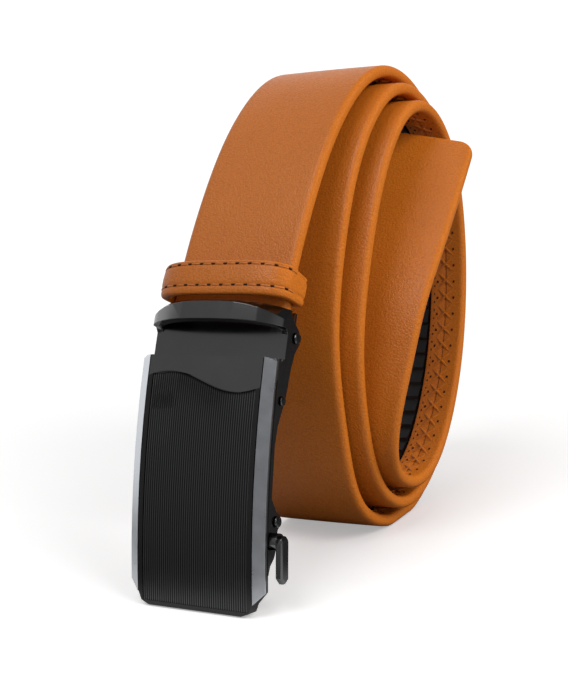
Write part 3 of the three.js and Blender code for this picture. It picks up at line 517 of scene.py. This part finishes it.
def stitch_tree():
    """Puts a curved thread, or a crossed pair of them, on every step of a line."""
    tree = bpy.data.node_groups.new("stitches_along_a_seam", "GeometryNodeTree")
    group_input(tree, "Geometry", "NodeSocketGeometry")
    for name, value in (("Pitch", 4 * MM), ("Length", 3 * MM), ("Spread", 0), ("Thread Radius", 0.25 * MM),
                        ("Rise", 0.3 * MM), ("Sink", 0.25 * MM)):
        group_input(tree, name, "NodeSocketFloat", value)
    group_input(tree, "Steps", "NodeSocketInt", 6)
    group_input(tree, "Crossed", "NodeSocketBool", False)
    group_input(tree, "Material", "NodeSocketMaterial")
    tree.interface.new_socket("Geometry", in_out="OUTPUT", socket_type="NodeSocketGeometry")
    given = tree.nodes.new("NodeGroupInput").outputs
    line = add(tree, "GeometryNodeMeshToCurve", {"Mesh": given["Geometry"]})
    steps = add(tree, "GeometryNodeResampleCurve", {
        "Curve": line.outputs["Curve"], "Length": given["Pitch"]}, mode="LENGTH")
    threads = []
    for side in (-1, 1):
        half = add(tree, "ShaderNodeMath", {0: given["Length"], 1: 0.5}, operation="MULTIPLY")
        reach = add(tree, "ShaderNodeMath", {0: given["Spread"], 1: 0.5 * side}, operation="MULTIPLY")
        down = add(tree, "ShaderNodeMath", {0: given["Sink"], 1: -1.0}, operation="MULTIPLY")
        back_half = add(tree, "ShaderNodeMath", {0: half.outputs[0], 1: -1.0}, operation="MULTIPLY")
        back_reach = add(tree, "ShaderNodeMath", {0: reach.outputs[0], 1: -1.0}, operation="MULTIPLY")
        start = add(tree, "ShaderNodeCombineXYZ", {
            "X": back_half.outputs[0], "Y": back_reach.outputs[0], "Z": down.outputs[0]})
        crest = add(tree, "ShaderNodeCombineXYZ", {"X": 0.0, "Y": 0.0, "Z": given["Rise"]})
        end = add(tree, "ShaderNodeCombineXYZ", {
            "X": half.outputs[0], "Y": reach.outputs[0], "Z": down.outputs[0]})
        thread = add(tree, "GeometryNodeCurveQuadraticBezier", {
            "Resolution": given["Steps"], "Start": start.outputs[0], "Middle": crest.outputs[0],
            "End": end.outputs[0]})
        round_section = add(tree, "GeometryNodeCurvePrimitiveCircle", {
            "Resolution": 6, "Radius": given["Thread Radius"]})
        body = add(tree, "GeometryNodeCurveToMesh", {
            "Curve": thread.outputs["Curve"], "Profile Curve": round_section.outputs["Curve"],
            "Fill Caps": True})
        threads.append(body.outputs["Mesh"])
    both = add(tree, "GeometryNodeJoinGeometry")
    for thread in threads:
        tree.links.new(thread, both.inputs[0])
    crossed = add(tree, "GeometryNodeSwitch", {
        "Switch": given["Crossed"], "False": threads[0], "True": both.outputs[0]}, input_type="GEOMETRY")
    outward = add(tree, "GeometryNodeInputNamedAttribute", {"Name": "outward"}, data_type="FLOAT_VECTOR")
    ahead = add(tree, "GeometryNodeInputNamedAttribute", {"Name": "ahead"}, data_type="FLOAT_VECTOR")
    facing = add(tree, "FunctionNodeAxesToRotation", {
        "Primary Axis": outward.outputs[0], "Secondary Axis": ahead.outputs[0]},
        primary_axis="Z", secondary_axis="X")
    sewn = add(tree, "GeometryNodeInstanceOnPoints", {
        "Points": steps.outputs["Curve"], "Instance": crossed.outputs[0], "Rotation": facing.outputs[0]})
    real = add(tree, "GeometryNodeRealizeInstances", {"Geometry": sewn.outputs[0]})
    smooth = add(tree, "GeometryNodeSetShadeSmooth", {"Geometry": real.outputs[0], "Shade Smooth": True})
    finished = add(tree, "GeometryNodeSetMaterial", {
        "Geometry": smooth.outputs[0], "Material": given["Material"]})
    add(tree, "NodeGroupOutput", {"Geometry": finished.outputs[0]})
    return tree


STITCHES = stitch_tree()


def seam_path(name, places, outward):
    """A line of places in millimetres that carries the directions a stitch needs."""
    mesh = bpy.data.meshes.new(name)
    edges = [(i, i + 1) for i in range(len(places) - 1)]
    mesh.from_pydata((places * MM).tolist(), edges, [])
    ahead = np.gradient(places, axis=0)
    ahead /= np.linalg.norm(ahead, axis=1, keepdims=True)
    for title, values in (("outward", outward), ("ahead", ahead)):
        mesh.attributes.new(title, "FLOAT_VECTOR", "POINT").data.foreach_set("vector", values.ravel())
    made = bpy.data.objects.new(name, mesh)
    bpy.context.scene.collection.objects.link(made)
    return made


def baked(made, tree, **values):
    """Runs a node tree on an object and keeps the result as a plain mesh."""
    modifier = made.modifiers.new("shape", "NODES")
    modifier.node_group = tree
    for item in tree.interface.items_tree:
        if item.item_type == "SOCKET" and item.in_out == "INPUT" and item.name in values:
            modifier[item.identifier] = values[item.name]
    bpy.context.view_layer.update()
    evaluated = made.evaluated_get(bpy.context.evaluated_depsgraph_get())
    mesh = bpy.data.meshes.new_from_object(evaluated)
    made.modifiers.remove(modifier)
    line, made.data = made.data, mesh
    bpy.data.meshes.remove(line)
    return made


def merged(name, pieces):
    """Joins plain meshes into one object."""
    shape = bmesh.new()
    materials = []
    for piece in pieces:
        first = len(shape.faces)
        shape.from_mesh(piece.data)
        shape.faces.ensure_lookup_table()
        material = next(material for material in piece.data.materials if material)
        if material not in materials:
            materials.append(material)
        for face in shape.faces[first:]:
            face.material_index = materials.index(material)
            face.smooth = True
        bpy.data.objects.remove(piece)
    mesh = bpy.data.meshes.new(name)
    shape.to_mesh(mesh)
    shape.free()
    for material in materials:
        mesh.materials.append(material)
    made = bpy.data.objects.new(name, mesh)
    bpy.context.scene.collection.objects.link(made)
    return made


# %% [markdown]
# ## Thread and needle holes
# The thread is bonded polyester in the leather's own tan. It is smoother and a touch lighter than the
# leather, and its twist is too fine to show. Each needle hole is painted shade: a small dark pit, made as a
# flat bead of nearly black brown set in the surface, because a real hole would cost far more faces.

# %% Thread and hole materials
def plain(name, colour, roughness, metallic=0.0, mottle_mm=3.0, mottle=0.12):
    """A finish with one colour, a faint uneven tone and a slightly uneven shine."""
    made = bpy.data.materials.new(name)
    made.use_nodes = True
    tree = made.node_tree
    surface = tree.nodes["Principled BSDF"]
    place = add(tree, "ShaderNodeTexCoord").outputs["Object"]
    uneven = add(tree, "ShaderNodeTexNoise", {"Vector": place, "Scale": per_size(mottle_mm), "Detail": 3})
    tone = add(tree, "ShaderNodeMapRange", {
        "Value": uneven.outputs["Fac"], "From Min": 0.3, "From Max": 0.7,
        "To Min": 1 - mottle, "To Max": 1 + mottle})
    shaded = add(tree, "ShaderNodeMix", {
        0: 1.0, 6: linear(colour), 7: tone.outputs["Result"]}, data_type="RGBA", blend_type="MULTIPLY",
        clamp_result=False)
    gloss = add(tree, "ShaderNodeMapRange", {
        "Value": uneven.outputs["Fac"], "From Min": 0.3, "From Max": 0.7,
        "To Min": roughness - 0.03, "To Max": roughness + 0.03})
    tree.links.new(shaded.outputs[2], surface.inputs["Base Color"])
    tree.links.new(gloss.outputs["Result"], surface.inputs["Roughness"])
    surface.inputs["Metallic"].default_value = metallic
    return made


thread_material = plain("bonded_polyester_thread", "#b86a2e", 0.5)
hole_shade_material = plain("needle_hole_shadow", "#2a1206", 0.9)

# %% Stitches of the keeper
KEEPER_PITCH = 3.6
THREAD_RADIUS, HOLE_RADIUS = 0.25, 0.3
ROW_DEPTH = 0.08
PLACES_PER_STITCH = 8
# The tree rounds the number of steps down, so it is given a pitch that is a little short.
ROUNDING_ROOM = 0.99


def keeper_seam(row):
    """The line that one row of stitches follows round the keeper's front."""
    middle = keeper_outline(KEEPER_THICKNESS - ROW_DEPTH)[:ARCH_STEPS]
    at = np.full(len(middle), KEEPER_START + row)
    places = on_strap(at, middle[:, 0], middle[:, 1])
    outward = np.cross(np.gradient(places, axis=0), strap_frames(at)[3])
    return places, outward / np.linalg.norm(outward, axis=1, keepdims=True)


def between(values, lengths, wanted):
    """Rows of a table of places or directions, read at other lengths along the line."""
    return np.stack([np.interp(wanted, lengths, column) for column in values.T], -1)


keeper_sewing = []
for row in STITCH_ROWS:
    places, outward = keeper_seam(row)
    lengths = np.concatenate([[0], np.cumsum(np.linalg.norm(np.diff(places, axis=0), axis=1))])
    pitch = lengths[-1] / int(lengths[-1] / KEEPER_PITCH)
    # Each needle hole lies half a pitch past the middle of a thread.
    for name, margin, sizes in (
        ("keeper_thread", 0, {"Length": 2.7 * MM, "Rise": 0.36 * MM, "Sink": 0.22 * MM,
                              "Thread Radius": THREAD_RADIUS * MM, "Material": thread_material}),
        ("keeper_holes", pitch / 2, {"Length": 0.9 * MM, "Rise": 0.12 * MM, "Sink": 0.02 * MM, "Steps": 3,
                                     "Thread Radius": HOLE_RADIUS * MM, "Material": hole_shade_material}),
    ):
        wanted = np.arange(margin, lengths[-1] - margin + 0.01, pitch / PLACES_PER_STITCH)
        line = seam_path(name, between(places, lengths, wanted), between(outward, lengths, wanted))
        keeper_sewing.append(baked(line, STITCHES, Pitch=ROUNDING_ROOM * pitch * MM, **sizes))
keeper_stitches = merged("keeper_stitches", keeper_sewing)
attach(keeper_stitches, "root")
print("keeper stitch faces", len(keeper_stitches.data.polygons))

# %% Lacing of the strap's back
LACE_PITCH = 5.0
LACE_LENGTH, LACE_REACH, LACE_RADIUS, LACE_ARCH = 4.3, 4.6, 0.44, 0.36
HOLES_APART = 5.3
LACE_START, LACE_STOP = 12, STRAP_LENGTH - 10
BACK = -STRAP_THICKNESS / 2


def back_path(name, start, across, out):
    """A line along the strap's back, with the way out of the back as its outward direction."""
    lengths = np.arange(start, LACE_STOP, LACE_PITCH / 2)
    places = on_strap(lengths, np.full(len(lengths), across), np.full(len(lengths), BACK - out))
    return seam_path(name, places, -strap_frames(lengths)[2])


lacing = []
for side in (-1, 1):
    laces = back_path("lace", LACE_START, side * SEAM_AT, 0.02)
    lacing.append(baked(laces, STITCHES, Pitch=LACE_PITCH * MM, Length=LACE_LENGTH * MM,
                        Spread=LACE_REACH * MM, Rise=LACE_ARCH * MM, Sink=LACE_ARCH * MM, Crossed=True,
                        Material=tan_leather, **{"Thread Radius": LACE_RADIUS * MM}))
    # The laces end at one needle hole on each side, and a row of small stitches runs nearer the track.
    for column, pitch, start, radius in (
        (SEAM_AT + HOLES_APART / 2, LACE_PITCH, LACE_PITCH / 2, 0.34),
        (SEAM_AT - HOLES_APART / 2, LACE_PITCH, LACE_PITCH / 2, 0.34),
        (SEAM_AT - HOLES_APART / 2 - 1, LACE_PITCH / 2, LACE_PITCH / 4, 0.22),
    ):
        # Each of these rows is dark beads of painted shade in the needle-hole material.
        pits = back_path("lace_holes", LACE_START + start, side * column, -0.12)
        lacing.append(baked(pits, STITCHES, Pitch=pitch * MM, Length=0.5 * MM, Rise=0.1 * MM, Sink=0.02 * MM,
                            Steps=2, Material=hole_shade_material, **{"Thread Radius": radius * MM}))
lace = merged("lining_lacing", lacing)
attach(lace, "root")
print("lacing faces", len(lace.data.polygons))

# %% [markdown]
# ## The buckle's metal
# The buckle is cast zinc with a black satin plating, and the two bevels on its front are left silver and
# brushed along their length. Both are metals, so their colour is the colour of what they reflect. The
# plating is a mid grey mirror with a low roughness, and it looks black because most of the room that it
# reflects is dark. Its colour carries a painted highlight on the crest of each rib, painted shade in the
# valleys and beside the ribs, and a painted shadow just below the wave that ends them.

# %% Sizes of the ribbed field
HALF_CENTRE = FACE_WIDTH / 2 - 3.2
RIB_BORDER, RIB_PITCH = 1.2, 0.66
WAVE_MIDDLE, WAVE_RISE, WAVE_LENGTH, WAVE_CREST = 57.8, 2.5, 40, -10.4
# Painted shade: how dark the rib valleys, and the plate below the wave beside the ribs, are drawn.
VALLEY_SHADE, BORDER_SHADE = 0.14, 0.35


# %% Metal materials
def worn_edges(material, radius_mm, relief_of=None):
    """Rounds the edges of a finish by turning its shading near them."""
    tree = material.node_tree
    surface = tree.nodes["Principled BSDF"]
    rounded = add(tree, "ShaderNodeBevel", {"Radius": radius_mm * MM}, samples=6)
    relief = relief_of(tree, rounded.outputs["Normal"]) if relief_of else rounded.outputs["Normal"]
    tree.links.new(relief, surface.inputs["Normal"])
    return material


def hairlines(tree, normal):
    """Fine brushed lines that run up the buckle."""
    place = add(tree, "ShaderNodeTexCoord").outputs["Object"]
    squeezed = add(tree, "ShaderNodeMapping", {"Vector": place, "Scale": (1, 0.03, 0.03)})
    hairs = add(tree, "ShaderNodeTexNoise", {
        "Vector": squeezed.outputs["Vector"], "Scale": per_size(0.25), "Detail": 2})
    return add(tree, "ShaderNodeBump", {
        "Height": hairs.outputs["Fac"], "Strength": 0.12, "Distance": 0.02 * MM,
        "Normal": normal}).outputs["Normal"]


def below_wave(tree, place):
    """How far across a place on the bent face is, and how far below the wave that ends the ribs."""
    def sum_of(kind, first, second=0.0):
        """One step of arithmetic as a node."""
        return add(tree, "ShaderNodeMath", {0: first, 1: second}, operation=kind).outputs[0]

    x, _, z = add(tree, "ShaderNodeSeparateXYZ", {"Vector": place}).outputs
    bend = FACE_BEND_RADIUS * MM
    foot = math.sin(FACE_LEAN) * (1 - RIM_DEPTH / FACE_BEND_RADIUS)
    sine = sum_of("ADD", sum_of("DIVIDE", z, bend), foot)
    along = sum_of("MULTIPLY", sum_of("SUBTRACT", sum_of("ARCSINE", sine), FACE_LEAN), bend)
    phase = sum_of("MULTIPLY", sum_of("SUBTRACT", x, WAVE_CREST * MM), 2 * math.pi / (WAVE_LENGTH * MM))
    swing = sum_of("MULTIPLY", sum_of("COSINE", phase), WAVE_RISE * MM)
    return x, sum_of("SUBTRACT", sum_of("ADD", swing, WAVE_MIDDLE * MM), along)


def plating_with_painted_light(name, colour, roughness, ribbed):
    """Satin plating with painted shade beside the ribs, and in the ribs a painted highlight on each crest.
    """
    made = plain(name, colour, roughness, metallic=1.0, mottle_mm=9, mottle=0.03)
    tree = made.node_tree
    surface = tree.nodes["Principled BSDF"]
    place = add(tree, "ShaderNodeTexCoord").outputs["Object"]
    x, depth = below_wave(tree, place)
    if ribbed:
        half = HALF_CENTRE - RIB_BORDER
        pitch = 2 * half / round(2 * half / RIB_PITCH)
        count = add(tree, "ShaderNodeMath", {0: x, 1: pitch * MM}, operation="DIVIDE")
        crest = add(tree, "ShaderNodeMath", {0: count.outputs[0], 1: half / pitch + 0.5}, operation="ADD")
        from_crest = add(tree, "ShaderNodeMath", {0: crest.outputs[0], 1: 0.5}, operation="PINGPONG")
        # Painted highlight on each rib's crest, fading to painted shade in the valleys between them.
        crest_highlight_tone = add(tree, "ShaderNodeMapRange", {
            "Value": from_crest.outputs[0], "From Min": 0.0, "From Max": 0.15,
            "To Min": 1.0, "To Max": VALLEY_SHADE}).outputs["Result"]
        # Painted shadow on the ribs just below the wave.
        shade = add(tree, "ShaderNodeMapRange", {
            "Value": depth, "From Min": 0.2 * MM, "From Max": 0.9 * MM, "To Min": 0.15, "To Max": 1.0})
        tone = add(tree, "ShaderNodeMath", {
            0: crest_highlight_tone, 1: shade.outputs["Result"]}, operation="MULTIPLY").outputs[0]
    else:
        # Painted shade: the plain plate below the wave, beside the ribs, is drawn darker.
        tone = add(tree, "ShaderNodeMapRange", {
            "Value": depth, "From Min": -0.1 * MM, "From Max": 0.2 * MM,
            "To Min": 1.0, "To Max": BORDER_SHADE}).outputs["Result"]
    even = surface.inputs["Base Color"].links[0].from_socket
    shaded = add(tree, "ShaderNodeMix", {0: 1.0, 6: even, 7: tone}, data_type="RGBA", blend_type="MULTIPLY")
    tree.links.new(shaded.outputs[2], surface.inputs["Base Color"])
    return worn_edges(made, 0.08)


# The ribs' lighter grey is part of their painted crest highlights.
PLATING, RIB_HIGHLIGHT_PLATING = "#6f6f70", "#8f8f91"
black_plating = worn_edges(
    plain("satin_black_plated_zinc", PLATING, 0.19, metallic=1.0, mottle_mm=9, mottle=0.03), 0.22)
face_plating = plating_with_painted_light("satin_black_plated_face", PLATING, 0.24, ribbed=False)
rib_plating = plating_with_painted_light("rib_plating_with_painted_highlights", RIB_HIGHLIGHT_PLATING, 0.3, ribbed=True)
silver = worn_edges(
    plain("brushed_silver_bevel", "#cdd0d5", 0.3, metallic=1.0, mottle=0.05), 0.15, hairlines)
acetal = worn_edges(plain("moulded_acetal", "#0c0c0d", 0.42, mottle_mm=1.5), 0.08)

# %% [markdown]
# ## Keeping the solids of the metal parts
# The buckle's solids already have their right shape, so each gets a copy of its own solid with its loose
# triangles merged. The whole buckle follows one arc, so the true direction of each bent face is known
# at every corner, and it replaces the direction of the flat facet. That makes the facets disappear
# without moving a single point. The fine worn edge comes from the metal's own material.

# %% Solids with the directions of the true arc
ARC_CENTRE = on_face(0, 0, -FACE_BEND_RADIUS)[1:]
FACET_LIMIT = math.cos(math.radians(7))
# A face that leans sideways less than this keeps the sideways lean of its own flat direction.
FLAT_LIMIT, HOUSING_FLAT_LIMIT = 0.02, 0.0005
MERGE_DISTANCE = 1e-6


def arc_normals(mesh, flat_limit):
    """Turns the corners of bent faces to the arc's own direction."""
    normals = []
    smoothed = [Vector(corner.vector) for corner in mesh.corner_normals]
    for face in mesh.polygons:
        flat = face.normal
        side = Vector(flat.yz).length
        outward = Vector((Vector(face.center.yz) / MM - Vector(ARC_CENTRE))).normalized()
        agrees = side > 0.05 and abs(Vector(flat.yz).dot(outward)) / side > FACET_LIMIT
        sign = math.copysign(1, Vector(flat.yz).dot(outward))
        for corner in face.loop_indices:
            if abs(flat.x) > 0.999:
                normals.append(flat)
            elif agrees:
                place = mesh.vertices[mesh.loops[corner].vertex_index].co
                out = (Vector(place.yz) / MM - Vector(ARC_CENTRE)).normalized() * sign
                across = smoothed[corner].x if abs(flat.x) > flat_limit else flat.x
                rest = math.sqrt(max(0, 1 - across ** 2))
                normals.append(Vector((across, out.x * rest, out.y * rest)))
            else:
                normals.append(smoothed[corner])
    mesh.normals_split_custom_set(normals)


def dressed(node, name, material, bent=True, smooth_degrees=26):
    """A merged copy of a solid that takes its place."""
    copy = bpy.data.objects.new(name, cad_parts[node].data.copy())
    bpy.context.scene.collection.objects.link(copy)
    shape = bmesh.new()
    shape.from_mesh(copy.data)
    bmesh.ops.remove_doubles(shape, verts=shape.verts, dist=MERGE_DISTANCE)
    shape.to_mesh(copy.data)
    shape.free()
    copy.data.materials.clear()
    copy.data.materials.append(material)
    copy.data.shade_smooth()
    sharpen(copy, smooth_degrees)
    if bent:
        arc_normals(copy.data, HOUSING_FLAT_LIMIT if node == "buckle_housing" else FLAT_LIMIT)
    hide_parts(node)
    return copy


METAL_COPIES = (
    ("buckle_housing", "housing_casting", "root"),
    ("clamp_flap", "clamp_flap_casting", "root"),
    ("clamp_pin", "clamp_pin_turned", "root"),
    ("housing_rivet_left", "left_rivet_turned", "root"),
    ("housing_rivet_right", "right_rivet_turned", "root"),
    ("pawl", "pawl_stamping", "root"),
    ("pawl_pin", "pawl_pin_turned", "root"),
    ("release_lever", "release_lever_casting", "lever"),
    ("face_plate", "face_plate_casting", "root"),
)
for node, name, body in METAL_COPIES:
    copy = dressed(node, name, face_plating if node == "face_plate" else black_plating)
    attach(copy, body)
# The flanks of the ribs face sideways, which tells them from the rest of the plate.
face_copy = bpy.data.objects["face_plate_casting"]
face_copy.data.materials.append(rib_plating)
for face in face_copy.data.polygons:
    if 0.1 < abs(face.normal.x) < 0.97 and abs(face.center.x) / MM < HALF_CENTRE - RIB_BORDER:
        face.material_index = 1
for side in ("left", "right"):
    copy = dressed(f"side_trim_{side}", f"silver_bevel_{side}", silver)
    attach(copy, "root")
track = dressed("ratchet_track", "toothed_track", acetal, bent=False)
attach(track, "root")
print("dressed", len(METAL_COPIES) + 3, "solids")

# %% [markdown]
# ## The studio
# The photograph has a pure white floor and background with a soft shadow under the belt. A key softbox
# hangs high in front, and three more stand at the right and light the sides of the turns. The room differs
# by what looks at it. The camera sees full white. The soft light on the belt is weaker and comes more from
# behind it and its left, so the leather keeps its contrast. Shiny parts see a dark room with three panels.

# %% Floor and light
FLOOR_HALF, FLOOR_DROP = 1.2, 0.00006
FLOOR_GLOW, FLOOR_BOUNCE, FLOOR_SEEN = 0.36, 0.4, 0.95
MIRRORED_BRIGHT, MIRRORED_DARK = 0.95, 0.1
BAND_ACROSS, BAND_AT, BAND_BRIGHT, BAND_END = (0.37, 0.93, 0), 80, 25, 50
FADE_START, FADE_END = 0.14, 0.42
floor_mesh = bpy.data.meshes.new("floor")
floor_mesh.from_pydata(
    [(x * FLOOR_HALF, y * FLOOR_HALF, -FLOOR_DROP) for x, y in ((-1, -1), (1, -1), (1, 1), (-1, 1))],
    [], [(0, 1, 2, 3)])
floor = bpy.data.objects.new("floor", floor_mesh)
bpy.context.scene.collection.objects.link(floor)


def sweep_material():
    """White paper that melts into the background at some distance from the belt."""
    made = plain("white_paper_sweep", "#f6f6f6", 0.9, mottle_mm=400, mottle=0.004)
    tree = made.node_tree
    surface = tree.nodes["Principled BSDF"]
    path = add(tree, "ShaderNodeLightPath").outputs
    seen = path["Is Camera Ray"]
    glow = add(tree, "ShaderNodeMath", {0: seen, 1: FLOOR_GLOW}, operation="MULTIPLY")
    place = add(tree, "ShaderNodeTexCoord").outputs["Object"]
    # Shiny parts see the paper lit only in a band that runs past both sides of the buckle.
    band = add(tree, "ShaderNodeVectorMath", {0: place, 1: BAND_ACROSS}, operation="DOT_PRODUCT")
    beside = add(tree, "ShaderNodeMath", {0: band.outputs["Value"], 1: BAND_AT * MM}, operation="ADD")
    away = add(tree, "ShaderNodeMath", {0: beside.outputs[0]}, operation="ABSOLUTE")
    mirrored = add(tree, "ShaderNodeMapRange", {
        "Value": away.outputs[0], "From Min": BAND_BRIGHT * MM, "From Max": BAND_END * MM,
        "To Min": MIRRORED_BRIGHT, "To Max": MIRRORED_DARK})
    unseen = add(tree, "ShaderNodeMapRange", {
        "Value": path["Is Glossy Ray"], "To Min": FLOOR_BOUNCE, "To Max": mirrored.outputs["Result"]})
    tone = add(tree, "ShaderNodeMapRange", {
        "Value": seen, "To Min": unseen.outputs["Result"], "To Max": FLOOR_SEEN})
    tree.links.new(tone.outputs["Result"], surface.inputs["Base Color"])
    surface.inputs["Emission Color"].default_value = (1, 1, 1, 1)
    tree.links.new(glow.outputs[0], surface.inputs["Emission Strength"])
    far = add(tree, "ShaderNodeVectorMath", {0: place}, operation="LENGTH")
    fade = add(tree, "ShaderNodeMapRange", {
        "Value": far.outputs["Value"], "From Min": FADE_START, "From Max": FADE_END},
        interpolation_type="SMOOTHSTEP")
    clear = add(tree, "ShaderNodeBsdfTransparent")
    both = add(tree, "ShaderNodeMixShader", {
        0: fade.outputs["Result"], 1: surface.outputs[0], 2: clear.outputs[0]})
    tree.links.new(both.outputs[0], tree.nodes["Material Output"].inputs["Surface"])
    return made


floor_mesh.materials.append(sweep_material())


LIT_PLACE = (0, -0.02, 0.07)


def softbox(name, azimuth, elevation, distance, size, watts, mirrored=True):
    """An area light that looks at the belt from an azimuth and an elevation in degrees."""
    lamp = bpy.data.lights.new(name, "AREA")
    lamp.shape = "SQUARE"
    lamp.size = size
    lamp.energy = watts
    made = bpy.data.objects.new(name, lamp)
    bpy.context.scene.collection.objects.link(made)
    a, e = math.radians(azimuth), math.radians(elevation)
    away = Vector((math.sin(a) * math.cos(e), -math.cos(a) * math.cos(e), math.sin(e)))
    made.location = Vector(LIT_PLACE) + away * distance
    made.rotation_euler = away.to_track_quat("Z", "Y").to_euler()
    made.visible_glossy = mirrored
    return made


softbox("key_softbox", -8, 62, 1.1, 0.6, 4)
softbox("right_softbox", 70, 38, 1.2, 0.5, 4.6, mirrored=False)
fills = (
    softbox("low_right_softbox", 60, 12, 1.2, 0.5, 2.8, mirrored=False),
    softbox("back_right_softbox", 120, 30, 1.2, 0.5, 10, mirrored=False),
)
# The fills would draw long shadows on the paper, so black flags keep their light off it.
flagged = bpy.data.collections.new("kept_from_the_fills")
flagged.objects.link(floor)
flagged.collection_objects[0].light_linking.link_state = "EXCLUDE"
for fill in fills:
    fill.light_linking.receiver_collection = flagged

# The room's soft light is a little stronger from behind the belt and its left.
SEEN_WHITE, BRIGHT_SIDE, DARK_SIDE = 1.1, 0.42, 0.31
BRIGHT_TOWARDS, BRIGHT_BEGINS, BRIGHT_FULL = (-0.35, 0.94, 0), -0.4, 0.3
# What shiny parts see of the room: a white wall, a lit ceiling and a card, each as a direction, the
# cosines where it begins and is full, and its strength.
ROOM_DARK = 0.06
ROOM_PANELS = (
    ((-0.86, 0.50, 0.00), 0.45, 0.85, 1.00),
    ((-0.45, -0.60, 0.66), 0.40, 0.95, 0.26),
    ((0.86, -0.50, -0.10), 0.60, 0.95, 0.32),
)
world = bpy.data.worlds.new("studio_white")
bpy.context.scene.world = world
world.use_nodes = True
sky = world.node_tree
sky.nodes.clear()
direction = add(sky, "ShaderNodeTexCoord").outputs["Generated"]


def panel(towards, begins, full, low, high):
    """How bright the room is towards a direction."""
    facing = add(sky, "ShaderNodeVectorMath", {0: direction, 1: towards}, operation="DOT_PRODUCT")
    return add(sky, "ShaderNodeMapRange", {
        "Value": facing.outputs["Value"], "From Min": begins, "From Max": full,
        "To Min": low, "To Max": high}, interpolation_type="SMOOTHSTEP").outputs["Result"]


light = panel(BRIGHT_TOWARDS, BRIGHT_BEGINS, BRIGHT_FULL, DARK_SIDE, BRIGHT_SIDE)
mirrored = ROOM_DARK
for towards, begins, full, strength in ROOM_PANELS:
    mirrored = add(sky, "ShaderNodeMath", {
        0: mirrored, 1: panel(towards, begins, full, 0, strength)}, operation="ADD").outputs[0]
path = add(sky, "ShaderNodeLightPath").outputs
unseen = add(sky, "ShaderNodeMix", {0: path["Is Glossy Ray"], 2: light, 3: mirrored})
strength = add(sky, "ShaderNodeMix", {0: path["Is Camera Ray"], 2: unseen.outputs[0], 3: SEEN_WHITE})
glow = add(sky, "ShaderNodeBackground", {"Color": (1, 1, 1, 1), "Strength": strength.outputs[0]})
add(sky, "ShaderNodeOutputWorld", {"Surface": glow.outputs[0]})
bpy.context.scene.view_settings.view_transform = "Standard"
